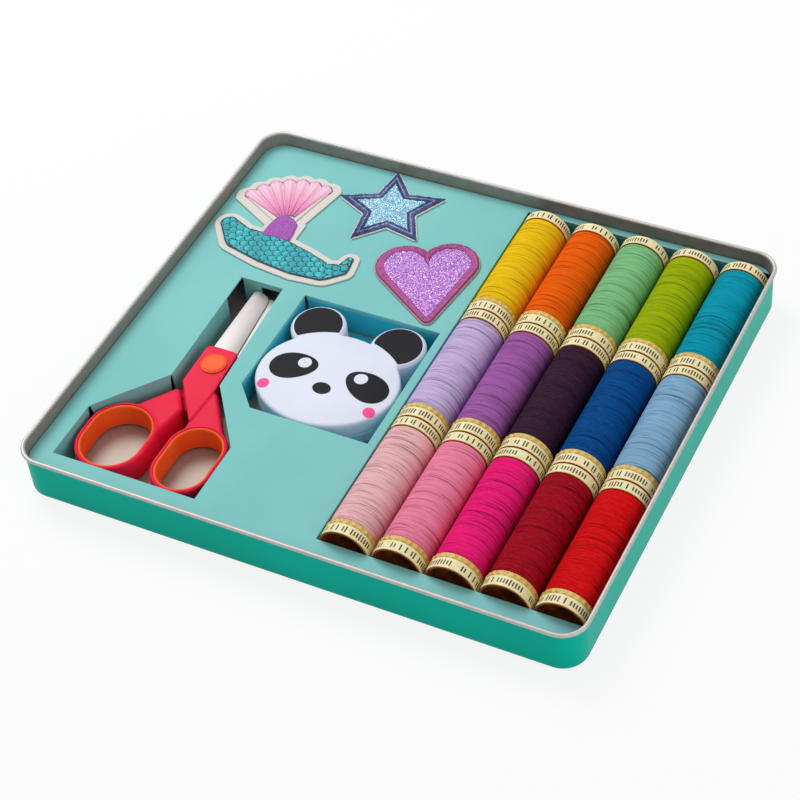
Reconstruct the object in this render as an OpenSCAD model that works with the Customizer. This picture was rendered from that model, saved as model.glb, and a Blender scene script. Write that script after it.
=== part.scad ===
// Sewing tin: a shallow drawn tin with a folded card insert that holds fifteen spools of thread,
// a pair of small scissors, a panda tape measure and three sewn patches.
// Millimetres, +Z up, origin at the middle of the tin's underside, front towards -Y.

/* [Tin] */
// Width of the tin's body, side to side
tin_w = 210; // [208:0.5:230]
// Depth of the tin's body, front to back
tin_d = 188; // [188:0.5:205]
// Height of the tin with its rim
tin_h = 18.8; // [18:0.1:24]
// Radius of the tin's upright corners
corner_r = 9; // [6:0.5:12]
// Radius along the tin's bottom edge
foot_r = 1.2; // [0.8:0.1:2]
// Thickness of the tinplate
tin_t = 0.5; // [0.3:0.05:0.7]
// Diameter of the curled rim
rim_d = 1.5; // [1.2:0.1:2.4]

/* [Card] */
// Depth of the card's face below the rim
card_drop = 5.9; // [5:0.1:6.5]
// Thickness of the card and of its flaps
card_t = 0.6; // [0.4:0.05:0.8]
// Gap between the card and the tin's wall
card_gap = 0.3; // [0.2:0.05:0.6]
// Width of the card's strip in front of the wells
front_strip = 9.2; // [7:0.1:11]

/* [Spools] */
// Radius of a spool's scalloped flange
flange_r = 9.5; // [8.6:0.1:9.8]
// Length of a spool, end to end
spool_len = 56.4; // [50:0.2:56.8]
// Length of the label band at the spool's front end
band_front = 4.6; // [3.6:0.1:6]
// Length of the label band at the spool's far end
band_back = 4.3; // [3.6:0.1:6]
// Thickness of the scalloped flange
flange_t = 1.9; // [1:0.1:2.4]
// Number of scallops round the flange
scallops = 24; // [18:1:28]
// Outer radius of the spool's core tube
core_r = 4.5; // [4:0.1:6]
// Radius of the spool's bore
bore_r = 3.3; // [2.4:0.1:3.6]
// How far the wound thread stays inside the flange
thread_inset = 0.25; // [0.2:0.05:1]
// Room for a spool's end beside the next spool
spool_gap = 0.4; // [0.3:0.05:0.6]

/* [Scissors] */
// Length of the upper blade from the pivot to its tip
blade_len = 42.3; // [34:0.1:42.6]
// Width of the upper blade at the pivot
blade_w = 10.2; // [9:0.1:11]
// Thickness of a blade
blade_t = 1.6; // [1:0.05:1.8]
// Radius of the pivot screw
screw_r = 2; // [1.5:0.05:2.4]
// Radius of the pivot's cap
cap_r = 4.9; // [4:0.1:5.6]
// Half the width of the big finger hole
big_hole_r = 10.95; // [9:0.05:11]
// Half the width of the small finger hole
small_hole_r = 9.1; // [8:0.05:9.4]
// Length of both finger holes
hole_len = 28; // [25:0.1:28.4]
// Height of the finger loops
loop_h = 10; // [8:0.1:10.4]
// Thickness of the soft liner in a loop
liner_t = 1; // [0.7:0.05:1.3]
// Thickness of a loop's hard wall
loop_t = 1.4; // [1:0.05:1.6]

/* [Tape measure] */
// Half the width of the panda's head
head_a = 26.9; // [25:0.1:27.4]
// Half the height of the panda's head
head_b = 22.4; // [21:0.1:22.6]
// Radius of an ear
ear_r = 10.3; // [8.5:0.1:10.5]
// Height of the case at its edge
case_h = 12.1; // [11.6:0.1:13]
// Rise of the face above the case's edge
face_rise = 0.9; // [0.6:0.1:1.6]
// Wall of the case
case_t = 1.5; // [1:0.1:1.8]
// Width of the measuring tape
tape_w = 6; // [5:0.1:6.4]
// Radius of the wound tape
roll_r = 11.5; // [10:0.1:11.8]
// Radius of the release button
button_r = 4.6; // [3.5:0.1:5]

/* [Patches] */
// Radius of the star's tips
star_r = 20.4; // [15:0.1:20.6]
// Radius of the star's inner corners
star_in = 10.4; // [8:0.1:12]
// Radius of each of the heart's lobes
lobe_r = 10.9; // [8.5:0.1:11.4]
// Length of the shell's ribs
fan_r = 26; // [20:0.1:27]
// Thickness of the felt under a patch
felt_t = 0.6; // [0.4:0.05:1]
// Height of the satin border above the felt
satin_t = 0.8; // [0.5:0.05:1]
// Width of the satin border of the star and the heart
satin_w = 3.2; // [2:0.1:3.6]
// Width of the satin border of the shell
shell_satin_w = 2.2; // [1.4:0.1:2.6]
// Felt that shows past the satin of the star and the heart
felt_edge = 0.5; // [0.3:0.1:1.2]
// Felt that shows past the satin of the shell
shell_edge = 1.3; // [0.6:0.1:1.6]

/* [Hidden] */
$fn = 64;

// Height at which loose things lie above what carries them
seat = 0.3;
// Running clearance between a shaft and its bore
run = 0.06;
// Clearance of pieces that are fitted into each other for good
fit = 0.05;
// Overlap of two forms that are joined
join = 0.2;

// Places in the tin
in_x = tin_w / 2 - tin_t;
in_y = tin_d / 2 - tin_t;
floor_z = tin_t;
rest_z = floor_z + seat;
card_top = tin_h - card_drop;
card_x = in_x - card_gap;
card_y = in_y - card_gap;
card_r = corner_r - tin_t - card_gap;

// Spools lie on their flanges in five columns and three rows
columns = 5;
rows = 3;
flange_gap = 0.35;
wall_gap = 0.5;
finger_room = 4.1;
column_step = 2 * flange_r + flange_gap;
row_step = spool_len + spool_gap;
well_front = -in_y + front_strip + card_gap;
first_x = in_x - wall_gap - flange_r - (columns - 1) * column_step;
spool_y = well_front + seat;
spool_z = rest_z + flange_r;
well_left = first_x - flange_r - flange_gap;
well_back = spool_y + (rows - 1) * row_step + spool_len + finger_room;
band_r = flange_r - 0.3;
end_wall = 0.7;
front_depth = band_front - 0.7;
back_depth = band_back - 0.9;
thread_r = flange_r - thread_inset;
thread_from = band_front + flange_t + 0.1;
thread_to = spool_len - band_back - 0.1;
// Thread colours, front row to back row, each from left to right
thread_colours = [
    "#F2B0AA", "#FF7596", "#EE1878", "#AE1030", "#EE1111",
    "#BDA3DB", "#A55BB5", "#4A2A3C", "#0058A5", "#86AECB",
    "#F7B510", "#FF6A00", "#7FCB96", "#9BB800", "#009AAA"
];

// Scissors, measured from the pivot, which lies this far from the tin's left and front walls
pivot_in = [38.7, 69.7];
pivot_x = -in_x + pivot_in[0];
pivot_y = -in_y + pivot_in[1];
blade_z = rest_z + 4.2;
blade_gap = 0.2;
upper_z = blade_z + blade_t + blade_gap;
neck_z = upper_z + blade_t;
neck_t = 3;
neck_top = neck_z + neck_t;
cap_t = 0.8;
blade_left = -6.3;
tip_w = 6.9;
big_loop = [-15.6, -43];
small_loop = [14.1, -43];
liner_drop = 0.3;
wells_back = pivot_y + blade_len + 0.5;

// Panda tape measure, measured from the middle of its face, which lies this far from the
// spools' well and the tin's front wall
head_in = [30.65, 77.1];
head_x = well_left - head_in[0];
head_y = -in_y + head_in[1];
case_z = rest_z;
case_top = case_z + case_h;
seam_z = case_z + 6.4;
ear_at = [[-15.6, 23.2], [16.4, 23.6]];
drum_at = [-12, -2];
drum_z = case_z + case_t + 0.3;
drum_floor = 0.6;
hub_r = 7.4;
hub_t = 0.8;
spindle_r = 2.5;
tape_z = drum_z + drum_floor + 0.2;
strip_t = 0.3;
strip_x = drum_at[0] + roll_r + 0.15;
strip_from = drum_at[1];
strip_to = head_b + 0.4;
tab_len = 1.5;
head_sides = 48;
button_at = [14, -2];
button_lip = 1;
marking_t = 0.3;

// Patches lie on the card, measured from the walls beside them
patch_z = card_top + 0.1;
star_in_wall = [62.4, 21];
star_at = [-in_x + star_in_wall[0], in_y - star_in_wall[1]];
star_turn = 17.5;
heart_in_wall = [9.35, 72.7];
heart_at = [well_left - heart_in_wall[0], in_y - heart_in_wall[1]];
heart_turn = 25;
heart_tip = 31.3;
lobe_out = 8.3;
shell_in_wall = [29.05, 43.15];
shell_at = [-in_x + shell_in_wall[0], in_y - shell_in_wall[1]];
fan_axis = 115;
fan_half = 48;
// The wave under the shell, as rounds at [x, y, radius] from the shell's hinge
wave = [
    [-21, -7, 4.4], [-13.1, -13.1, 7], [0.9, -14.9, 8.8], [14.9, -17.5, 7.9],
    [25.4, -18.8, 5.7], [31.5, -15.3, 3.9], [32, -9.2, 2.4]
];

// Rounded rectangle about the origin
module round_rect(half_x, half_y, r) {
    square([2 * half_x, 2 * (half_y - r)], center = true);
    square([2 * (half_x - r), 2 * half_y], center = true);
    for (sx = [-1, 1], sy = [-1, 1]) {
        translate([sx * (half_x - r), sy * (half_y - r)]) circle(r);
    }
}

// Cross-section of the tin's wall and floor, x measured outwards from the corner's centre
module wall_section() {
    difference() {
        union() {
            translate([0, foot_r]) square([corner_r, tin_h - rim_d / 2 - foot_r]);
            square([corner_r - foot_r, foot_r]);
            translate([corner_r - foot_r, foot_r]) circle(foot_r);
        }
        translate([-1, foot_r]) square([corner_r - tin_t + 1, tin_h]);
        translate([-1, tin_t]) square([corner_r - foot_r + 1, tin_h]);
        translate([corner_r - foot_r, foot_r]) circle(foot_r - tin_t);
    }
    translate([corner_r - tin_t + rim_d / 2, tin_h - rim_d / 2]) circle(d = rim_d, $fn = 32);
}

// One straight stretch of the tin's wall with its strip of floor
module wall_run(length) {
    translate([0, length / 2, 0])
        rotate([90, 0, 0])
            linear_extrude(length) wall_section();
}

module tin_body() {
    cx = tin_w / 2 - corner_r;
    cy = tin_d / 2 - corner_r;
    color("#009E88") {
        for (turn = [0, 180]) {
            rotate(turn) translate([cx, 0, 0]) wall_run(2 * cy);
            rotate(turn + 90) translate([cy, 0, 0]) wall_run(2 * cx);
        }
        translate([cx, cy, 0]) rotate_extrude(angle = 90) wall_section();
        translate([-cx, cy, 0]) rotate(90) rotate_extrude(angle = 90) wall_section();
        translate([-cx, -cy, 0]) rotate(180) rotate_extrude(angle = 90) wall_section();
        translate([cx, -cy, 0]) rotate(270) rotate_extrude(angle = 90) wall_section();
        translate([-cx, -cy, 0]) cube([2 * cx, 2 * cy, tin_t]);
    }
}

// Corners of the scissors' well, anticlockwise from the blade's end
function scissors_well() = [
    [pivot_x - 11.9, wells_back],
    [pivot_x - 10.8, pivot_y - 11.4],
    [pivot_x - 30.6, pivot_y - 36.1],
    [pivot_x - 30.6, well_front],
    [pivot_x + 26.6, well_front],
    [pivot_x + 26.6, pivot_y - 34.7],
    [pivot_x + 8.2, pivot_y - 9.8],
    [pivot_x + 5.6, wells_back]
];

// Corners of the tape measure's well, anticlockwise from its back left corner
function panda_well() = [
    [head_x - 27.5, wells_back],
    [head_x - 27.5, head_y - 13.3],
    [head_x - 18.9, head_y - 22.8],
    [head_x + 27.5, head_y - 22.8],
    [head_x + 27.5, wells_back]
];

// A tongue of card folded down along the well's edge from p to q, the well on its left, with a
// short slit at each corner; cut_p and cut_q draw its lower corners in, from_p is where it starts
module flap(p, q, cut_p, cut_q, from_p = 0, drop = card_top - rest_z) {
    run_len = norm(q - p);
    slit = 0.5;
    translate([p[0], p[1], 0])
        rotate(atan2(q[1] - p[1], q[0] - p[0]))
            rotate([90, 0, 0])
                linear_extrude(card_t)
                    polygon([
                        [from_p + slit, card_top],
                        [run_len - slit, card_top],
                        [run_len - cut_q, card_top - drop],
                        [from_p + cut_p, card_top - drop]
                    ]);
}

module insert_card() {
    s = scissors_well();
    p = panda_well();
    skirt_h = card_top - rest_z;
    notch = 9.1;
    w = [[well_left, well_back], [well_left, well_front], [card_x, well_front], [card_x, well_back]];
    color("#80C7C4") {
        translate([0, 0, card_top - card_t]) linear_extrude(card_t) difference() {
            round_rect(card_x, card_y, card_r);
            polygon(s);
            polygon(p);
            translate([well_left, well_front]) square([tin_w, well_back - well_front]);
        }
        flap(s[0], s[1], 0.5, 1.4, from_p = 11.3);
        flap(s[1], s[2], 1.4, 2);
        flap(s[2], s[3], 1.6, 1.6);
        flap(s[3], s[4], 1.5, 1.5);
        flap(s[7], s[7] - [notch + 1, 0], 0.5, 0.5, drop = 2.4);
        flap(s[7], s[0], 0.5, 0.5, from_p = notch);
        flap(p[0], p[1], 1.5, 1);
        flap(p[1], p[2], 1, 1);
        flap(p[2], p[3], 1, 1.5);
        flap(p[3], p[4], 1.5, 1.5);
        flap(p[4], p[0], 1.5, 1.5);
        flap(w[0], w[1], 1.5, 1.5);
        flap(w[1], w[2], 1.5, 1.5);
        flap(w[3], w[0], 1.5, 1.5, from_p = 3);
        translate([-card_x, card_r - card_y, rest_z]) cube([card_t, 2 * (card_y - card_r), skirt_h]);
        for (side = [-card_y, card_y - card_t]) {
            translate([card_r - card_x, side, rest_z]) cube([2 * (card_x - card_r), card_t, skirt_h]);
        }
    }
}

// Moves its child to the place of spool number i, with the spool's axis along +Y
module at_spool(i) {
    translate([
        first_x + (i % columns) * column_step,
        spool_y + floor(i / columns) * row_step,
        spool_z
    ])
        rotate([-90, 0, 0]) children();
}

// Core tube with a label band and a recessed end at each side, and the scalloped flange
module spool(i) {
    web = band_front + flange_t;
    cup = band_r - end_wall;
    bump_r = 1;
    color("#E8DDA8") at_spool(i) {
        rotate_extrude() polygon([
            [cup, 0], [band_r, 0], [band_r, web], [core_r, web],
            [core_r, spool_len - band_back], [band_r, spool_len - band_back],
            [band_r, spool_len], [cup, spool_len], [cup, spool_len - back_depth],
            [bore_r, spool_len - back_depth], [bore_r, front_depth], [cup, front_depth]
        ]);
        translate([0, 0, band_front]) linear_extrude(flange_t) difference() {
            union() {
                circle(flange_r - 0.25);
                for (k = [0 : scallops - 1]) {
                    rotate((k + 0.5) * 360 / scallops)
                        translate([flange_r - bump_r, 0])
                            circle(bump_r, $fn = 24);
                }
            }
            circle(core_r + 1);
        }
    }
}

// The wound thread: a barrel with eased shoulders between the flange and the far band
module wound_thread(i) {
    color(thread_colours[i]) at_spool(i)
        rotate_extrude() polygon([
            [core_r + 0.05, thread_from],
            [thread_r - 0.7, thread_from],
            [thread_r - 0.2, thread_from + 1.2],
            [thread_r, thread_from + 5],
            [thread_r, thread_to - 6],
            [thread_r - 0.2, thread_to - 1.6],
            [thread_r - 0.8, thread_to],
            [core_r + 0.05, thread_to]
        ]);
}

// Moves its child to the scissors' pivot
module at_pivot(z = 0) {
    translate([pivot_x, pivot_y, z]) children();
}

// Plan of a blade, its spine along x = left, its tip rounded on the cutting side
module blade_plan(left, width, tip, length) {
    polygon([
        [left, -9], [left + width, -9], [left + width, 0],
        [left + tip, length - 4.3], [left + tip - 0.4, length - 2.1],
        [left + tip - 1.6, length - 0.6], [left + tip - 3.4, length],
        [left + 0.7, length], [left, length - 0.7]
    ]);
}

// Blade with the cutting edge ground on its outer face
module ground_blade(left, width, tip, length, z, upper) {
    slope = atan((width - tip) / (length - 4.3));
    grind = 14;
    difference() {
        translate([0, 0, z]) linear_extrude(blade_t) blade_plan(left, width, tip, length);
        translate([left + width, 0, upper ? z + 0.35 : z + blade_t - 0.35])
            rotate(slope)
                rotate([0, upper ? -(90 - grind) : 90 - grind, 0])
                    translate([upper ? 0 : -12, 9, 0])
                        cube([12, length + 8, 12]);
        cylinder(r = screw_r + run, h = tin_h);
    }
}

module blade_upper() {
    color("#C9C5C2") at_pivot()
        ground_blade(blade_left, blade_w, tip_w, blade_len, upper_z, true);
}

module blade_lower() {
    color("#C9C5C2") at_pivot()
        mirror([1, 0, 0])
            ground_blade(-3.6, blade_w - 0.6, tip_w - 0.4, blade_len - 0.8, blade_z, false);
}

// Outline of a finger hole grown by d
module hole_plan(r, d) {
    straight = hole_len / 2 - r;
    square([2 * (r + d), 2 * straight], center = true);
    for (s = [-1, 1]) translate([0, s * straight]) circle(r + d);
}

// A section swept round a finger hole, its x measured from the end arc's centre
module loop_sweep(r) {
    straight = hole_len / 2 - r;
    translate([0, straight, 0]) rotate_extrude(angle = 180) children();
    translate([0, -straight, 0]) rotate(180) rotate_extrude(angle = 180) children();
    for (turn = [0, 180]) {
        rotate(turn) translate([0, straight, 0]) rotate([90, 0, 0]) linear_extrude(2 * straight) children();
    }
}

// Section of a loop's hard wall, rounded outside
module loop_section(r) {
    inner = r + liner_t + fit;
    outer = r + liner_t + loop_t;
    round = 1.1;
    translate([inner, 0]) square([outer - round - inner, loop_h]);
    translate([inner, round]) square([outer - inner, loop_h - 2 * round]);
    for (z = [round, loop_h - round]) {
        intersection() {
            translate([outer - round, z]) circle(round, $fn = 32);
            translate([inner, 0]) square([loop_t, loop_h]);
        }
    }
}

// Section of the soft liner, rounded towards the finger
module liner_section(r) {
    round = liner_t * 0.8;
    low = liner_drop;
    high = loop_h - liner_drop;
    translate([r + round, low]) square([liner_t - round, high - low]);
    translate([r, low + round]) square([liner_t, high - low - 2 * round]);
    for (z = [low + round, high - round]) {
        intersection() {
            translate([r + round, z]) circle(round, $fn = 24);
            translate([r, low]) square([liner_t, high - low]);
        }
    }
}

// Moves its child to the middle of a finger hole
module at_loop(loop, z) {
    translate([loop[0], loop[1], z]) children();
}

// A bevelled upright post, one corner of a handle's web
module web_post(at, r, z, h) {
    ease = 0.9;
    translate([at[0], at[1], z + ease]) cylinder(r = r, h = h - 2 * ease, $fn = 32);
    translate([at[0], at[1], z]) cylinder(r = r - ease, h = h, $fn = 32);
}

// Upper handle: the neck over the pivot and the web to the small loop
module handle_upper() {
    web_h = loop_h - 0.4;
    color("#E8203F") at_pivot() difference() {
        union() {
            translate([0, 0, neck_z]) linear_extrude(neck_t)
                polygon([
                    [-6.9, 7], [-6.2, 7.9], [-4.8, 8.3], [3.9, 8.3], [5.2, 7.9], [5.9, 7],
                    [6.9, -11.5], [5.8, -27.5], [4.9, -27.2], [-6.7, -11.2]
                ]);
            hull() {
                web_post([7.6, -13.2], 1.3, neck_z - 1.6, neck_z + neck_t - 0.5 - (neck_z - 1.6));
                web_post([6.4, -28.2], 1.5, rest_z, web_h);
                web_post([small_loop[0] + 8.6, -36.5], 2.4, rest_z, web_h);
                web_post([small_loop[0] - 7.4, -38], 2.6, rest_z, web_h);
            }
            at_loop(small_loop, rest_z) loop_sweep(small_hole_r) loop_section(small_hole_r);
        }
        at_loop(small_loop, -1) linear_extrude(tin_h) hole_plan(small_hole_r, liner_t + fit);
        cylinder(r = screw_r + run, h = tin_h);
    }
}

// Lower handle: the hub under the blades and the web to the big loop
module handle_lower() {
    web_h = loop_h - 0.4;
    color("#E8203F") at_pivot() difference() {
        union() {
            translate([0, 0, rest_z]) linear_extrude(blade_z - rest_z) hull() {
                circle(6.2);
                translate([-5.6, -17]) circle(4.6);
            }
            hull() {
                web_post([-7.4, -15], 1.6, rest_z, web_h - 1);
                web_post([-2.9, -23.5], 2.6, rest_z, web_h);
                web_post([big_loop[0] - 6, -37.5], 2.8, rest_z, web_h);
                web_post([big_loop[0] + 9, -38], 3, rest_z, web_h);
            }
            at_loop(big_loop, rest_z) loop_sweep(big_hole_r) loop_section(big_hole_r);
        }
        at_loop(big_loop, -1) linear_extrude(tin_h) hole_plan(big_hole_r, liner_t + fit);
        cylinder(r = screw_r + run, h = tin_h);
        translate([0, 0, -1]) cylinder(r = screw_r + 1.5, h = rest_z + 2.4);
    }
}

module grip_upper() {
    color("#F04A10") at_pivot() at_loop(small_loop, rest_z)
        loop_sweep(small_hole_r) liner_section(small_hole_r);
}

module grip_lower() {
    color("#F04A10") at_pivot() at_loop(big_loop, rest_z)
        loop_sweep(big_hole_r) liner_section(big_hole_r);
}

module pivot_screw() {
    color("#B9B6B2") at_pivot() {
        translate([0, 0, rest_z + 0.4]) cylinder(r = screw_r + 1.3, h = 1);
        translate([0, 0, rest_z + 1.4]) cylinder(r = screw_r, h = neck_top + 0.1 - rest_z - 1.4);
    }
}

// Cap with an eased edge
module pivot_cap() {
    color("#FF5A1E") at_pivot(neck_top + 0.1)
        rotate_extrude() polygon([
            [0, 0], [cap_r, 0], [cap_r, cap_t - 0.4], [cap_r - 0.4, cap_t - 0.1],
            [cap_r - 1.4, cap_t], [0, cap_t]
        ]);
}

// Moves its child to the middle of the panda's face
module at_head(z = 0) {
    translate([head_x, head_y, z]) children();
}

// The head's oval, drawn in by d
module head_plan(d) {
    polygon([
        for (k = [0 : head_sides - 1])
        [(head_a - d) * cos(k * 360 / head_sides), (head_b - d) * sin(k * 360 / head_sides)]
    ]);
}

// A closed form through level rings of the head's oval, each [height, how far it is drawn in]
module sliced(slices) {
    sides = head_sides;
    n = len(slices);
    polyhedron(
        points = [
            for (s = slices, k = [0 : sides - 1])
            [(head_a - s[1]) * cos(k * 360 / sides), (head_b - s[1]) * sin(k * 360 / sides), s[0]]
        ],
        faces = concat(
            [[for (k = [0 : sides - 1]) k]],
            [for (j = [0 : n - 2], k = [0 : sides - 1])
                [j * sides + k, (j + 1) * sides + k, j * sides + (k + 1) % sides]],
            [for (j = [0 : n - 2], k = [0 : sides - 1])
                [(j + 1) * sides + k, (j + 1) * sides + (k + 1) % sides, j * sides + (k + 1) % sides]],
            [[for (k = [sides - 1 : -1 : 0]) (n - 1) * sides + k]]
        )
    );
}

// Outside of the head, its face domed
module head_form() {
    sliced([
        [case_z, 1.3], [case_z + 0.6, 0.4], [case_z + 1.6, 0],
        [case_top - 0.9, 0], [case_top - 0.25, 0.35], [case_top, 1],
        [case_top + face_rise * 0.6, 6], [case_top + face_rise - 0.1, 11], [case_top + face_rise, 15]
    ]);
}

// Space inside the head
module head_space() {
    sliced([
        [case_z + case_t, case_t + 0.6], [case_z + case_t + 1, case_t],
        [case_top - 2, case_t], [case_top - 1, case_t + 2], [case_top - 0.4, case_t + 6]
    ]);
}

// An ear with eased edges
module ear(at) {
    ease = 1;
    translate([at[0], at[1], 0]) hull() {
        translate([0, 0, case_z]) cylinder(r = ear_r - ease, h = case_h, $fn = 40);
        translate([0, 0, case_z + ease]) cylinder(r = ear_r, h = case_h - 2 * ease, $fn = 40);
    }
}

module panda_form() {
    head_form();
    for (at = ear_at) ear(at);
}

// The slot that the tape runs out through
module tape_slot() {
    translate([strip_x - 0.45, head_b - 5, tape_z - 0.3]) cube([strip_t + 0.9, 12, tape_w + 0.6]);
}

module case_front() {
    color("#E9ECF8") at_head() difference() {
        intersection() {
            panda_form();
            translate([-40, -40, seam_z]) cube([80, 90, tin_h]);
        }
        head_space();
        tape_slot();
    }
}

module case_back() {
    color("#E9ECF8") at_head() {
        difference() {
            intersection() {
                panda_form();
                translate([-40, -40, 0]) cube([80, 90, seam_z - 0.05]);
            }
            head_space();
            tape_slot();
            translate([button_at[0], button_at[1], 0]) cylinder(r = button_r + 0.3, h = tin_h);
        }
        translate([drum_at[0], drum_at[1], case_z + case_t - join])
            cylinder(r = spindle_r, h = tape_w + drum_floor + 0.6 + join);
    }
}

// A mark raised on the face, over the plan that it is given
module on_face() {
    difference() {
        intersection() {
            translate([0, 0, marking_t]) head_form();
            translate([0, 0, case_top - 2.4]) linear_extrude(tin_h) children();
        }
        head_form();
    }
}

module face_markings() {
    color("#2B2B33") at_head() {
        on_face() {
            for (s = [-1, 1]) {
                translate([0.7 + s * 14.5, 0.9]) difference() {
                    rotate(-s * 20) scale([1, 0.74]) circle(8.7, $fn = 40);
                    translate([-s * 3.3, 2.4]) circle(2.5, $fn = 24);
                }
            }
            translate([0.8, -5.7]) scale([1, 0.8]) circle(3.4, $fn = 24);
        }
        for (at = ear_at) {
            translate([0, 0, case_top]) linear_extrude(marking_t) difference() {
                translate(at) circle(ear_r - 1.1, $fn = 40);
                head_plan(-0.5);
            }
        }
    }
}

module cheeks() {
    color("#FF5FA0") at_head() on_face() {
        translate([-20.2, -10.5]) circle(2.2, $fn = 24);
        translate([21.3, -9.6]) circle(2.2, $fn = 24);
    }
}

// Moves its child to the drum's axis
module at_drum(z) {
    at_head(z) translate([drum_at[0], drum_at[1], 0]) children();
}

module tape_drum() {
    color("#D8D8D8") at_drum(drum_z) difference() {
        union() {
            cylinder(r = roll_r, h = drum_floor);
            cylinder(r = hub_r, h = drum_floor + 0.2 + tape_w);
        }
        translate([0, 0, drum_floor]) cylinder(r = hub_r - hub_t, h = tape_w + 1);
        translate([0, 0, -1]) cylinder(r = spindle_r + run, h = tape_w);
    }
}

module tape_roll() {
    color("#F4F2E6") at_drum(tape_z) difference() {
        cylinder(r = roll_r, h = tape_w);
        translate([0, 0, -1]) cylinder(r = hub_r + 0.1, h = tape_w + 2);
    }
}

// Flat spiral spring between the spindle and the hub
module return_spring() {
    turns = 3;
    steps = 20;
    strip = 0.2;
    inner = spindle_r + 0.35;
    pitch = (hub_r - hub_t - 0.45 - inner - strip) / turns;
    function coil(k, d) = let (
        a = k * 360 / steps,
        r = inner + d + pitch * k / steps
    ) [r * cos(a), r * sin(a)];
    color("#8E8E92") at_drum(tape_z) linear_extrude(tape_w - 0.5) polygon(concat(
        [for (k = [0 : turns * steps]) coil(k, 0)],
        [for (k = [turns * steps : -1 : 0]) coil(k, strip)]
    ));
}

// The tape's free end with its tab
module tape_strip() {
    color("#F4F2E6") at_head(tape_z) {
        translate([strip_x, strip_from, 0]) cube([strip_t, strip_to - strip_from, tape_w]);
        translate([strip_x - 1.6, strip_to - join, -0.1]) cube([strip_t + 3.2, tab_len, tape_w + 0.2]);
    }
}

module release_button() {
    face_z = case_z + 0.15;
    lip_z = case_z + case_t + 0.05;
    color("#3C3C44") at_head() translate([button_at[0], button_at[1], 0]) {
        translate([0, 0, face_z]) cylinder(r = button_r, h = lip_z - face_z + join);
        translate([0, 0, lip_z]) cylinder(r = button_r + button_lip, h = 0.8);
    }
}

// Five-pointed star, its tips eased
module star_plan() {
    ease = 0.7;
    point = star_r + 1.37 * ease;
    offset(r = ease, $fn = 24) offset(delta = -ease) polygon([
        for (k = [0 : 9])
        let (r = k % 2 == 0 ? point : star_in, a = star_turn + 90 + k * 36)
        [r * cos(a), r * sin(a)]
    ]);
}

// Heart of two lobes over an eased tip
module heart_plan() {
    tip_r = 2.3;
    rotate(heart_turn) for (s = [-1, 1]) {
        hull() {
            translate([s * lobe_out, heart_tip]) circle(lobe_r, $fn = 48);
            translate([0, tip_r + felt_edge]) circle(tip_r, $fn = 24);
        }
    }
}

// Scallop shell standing on a wave
module shell_plan() {
    ribs = 7;
    steps = 56;
    function fan_at(k) = let (
        a = fan_axis - fan_half + 2 * fan_half * k / steps,
        r = fan_r + 1.6 * abs(sin(k * ribs * 180 / steps))
    ) [r * cos(a), r * sin(a)];
    polygon(concat([[4, -2]], [for (k = [0 : steps]) fan_at(k)], [[-5, -3]]));
    translate([-6.5, -9]) square([12.5, 11]);
    for (k = [0 : len(wave) - 2]) {
        hull() {
            translate([wave[k][0], wave[k][1]]) circle(wave[k][2], $fn = 32);
            translate([wave[k + 1][0], wave[k + 1][1]]) circle(wave[k + 1][2], $fn = 32);
        }
    }
}

// The three layers of a sewn patch over one outline
module patch_backing(colour, edge) {
    color(colour) translate([0, 0, patch_z]) linear_extrude(felt_t) offset(r = edge, $fn = 24) children();
}

module patch_border(colour, width) {
    color(colour) translate([0, 0, patch_z + felt_t]) linear_extrude(satin_t) difference() {
        children();
        offset(delta = -width) children();
    }
}

module patch_field(colour, width) {
    color(colour) translate([0, 0, patch_z + felt_t]) linear_extrude(satin_t * 0.6)
        offset(delta = -width) children();
}

module star_backing() {
    translate(star_at) patch_backing("#F0EEE8", felt_edge) star_plan();
}

module star_border() {
    translate(star_at) patch_border("#5A6B96", satin_w) star_plan();
}

module star_field() {
    translate(star_at) patch_field("#8FC3DA", satin_w) star_plan();
}

module heart_backing() {
    translate(heart_at) patch_backing("#E9C9D6", felt_edge) heart_plan();
}

module heart_border() {
    translate(heart_at) patch_border("#B04A8F", satin_w) heart_plan();
}

module heart_field() {
    translate(heart_at) patch_field("#B48AD6", satin_w) heart_plan();
}

module shell_backing() {
    translate(shell_at) patch_backing("#F0EEE8", shell_edge) shell_plan();
}

module shell_border() {
    translate(shell_at) patch_border("#8A5BB0", shell_satin_w) shell_plan();
}

module shell_field() {
    translate(shell_at) patch_field("#F2A6CE", shell_satin_w) shell_plan();
}

tin_body();
insert_card();
spool(0);  // spool_01
spool(1);  // spool_02
spool(2);  // spool_03
spool(3);  // spool_04
spool(4);  // spool_05
spool(5);  // spool_06
spool(6);  // spool_07
spool(7);  // spool_08
spool(8);  // spool_09
spool(9);  // spool_10
spool(10);  // spool_11
spool(11);  // spool_12
spool(12);  // spool_13
spool(13);  // spool_14
spool(14);  // spool_15
wound_thread(0);  // thread_01
wound_thread(1);  // thread_02
wound_thread(2);  // thread_03
wound_thread(3);  // thread_04
wound_thread(4);  // thread_05
wound_thread(5);  // thread_06
wound_thread(6);  // thread_07
wound_thread(7);  // thread_08
wound_thread(8);  // thread_09
wound_thread(9);  // thread_10
wound_thread(10);  // thread_11
wound_thread(11);  // thread_12
wound_thread(12);  // thread_13
wound_thread(13);  // thread_14
wound_thread(14);  // thread_15
blade_upper();
blade_lower();
handle_upper();
handle_lower();
grip_upper();
grip_lower();
pivot_screw();
pivot_cap();
case_front();
case_back();
face_markings();
cheeks();
tape_drum();
tape_roll();
return_spring();
tape_strip();
release_button();
star_backing();
star_border();
star_field();
heart_backing();
heart_border();
heart_field();
shell_backing();
shell_border();
shell_field();
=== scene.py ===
"""A sewing tin: spools of thread, scissors, a panda tape measure and patches on a folded card."""
import math

import bpy
import numpy as np
from mathutils import Matrix, Vector


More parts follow.
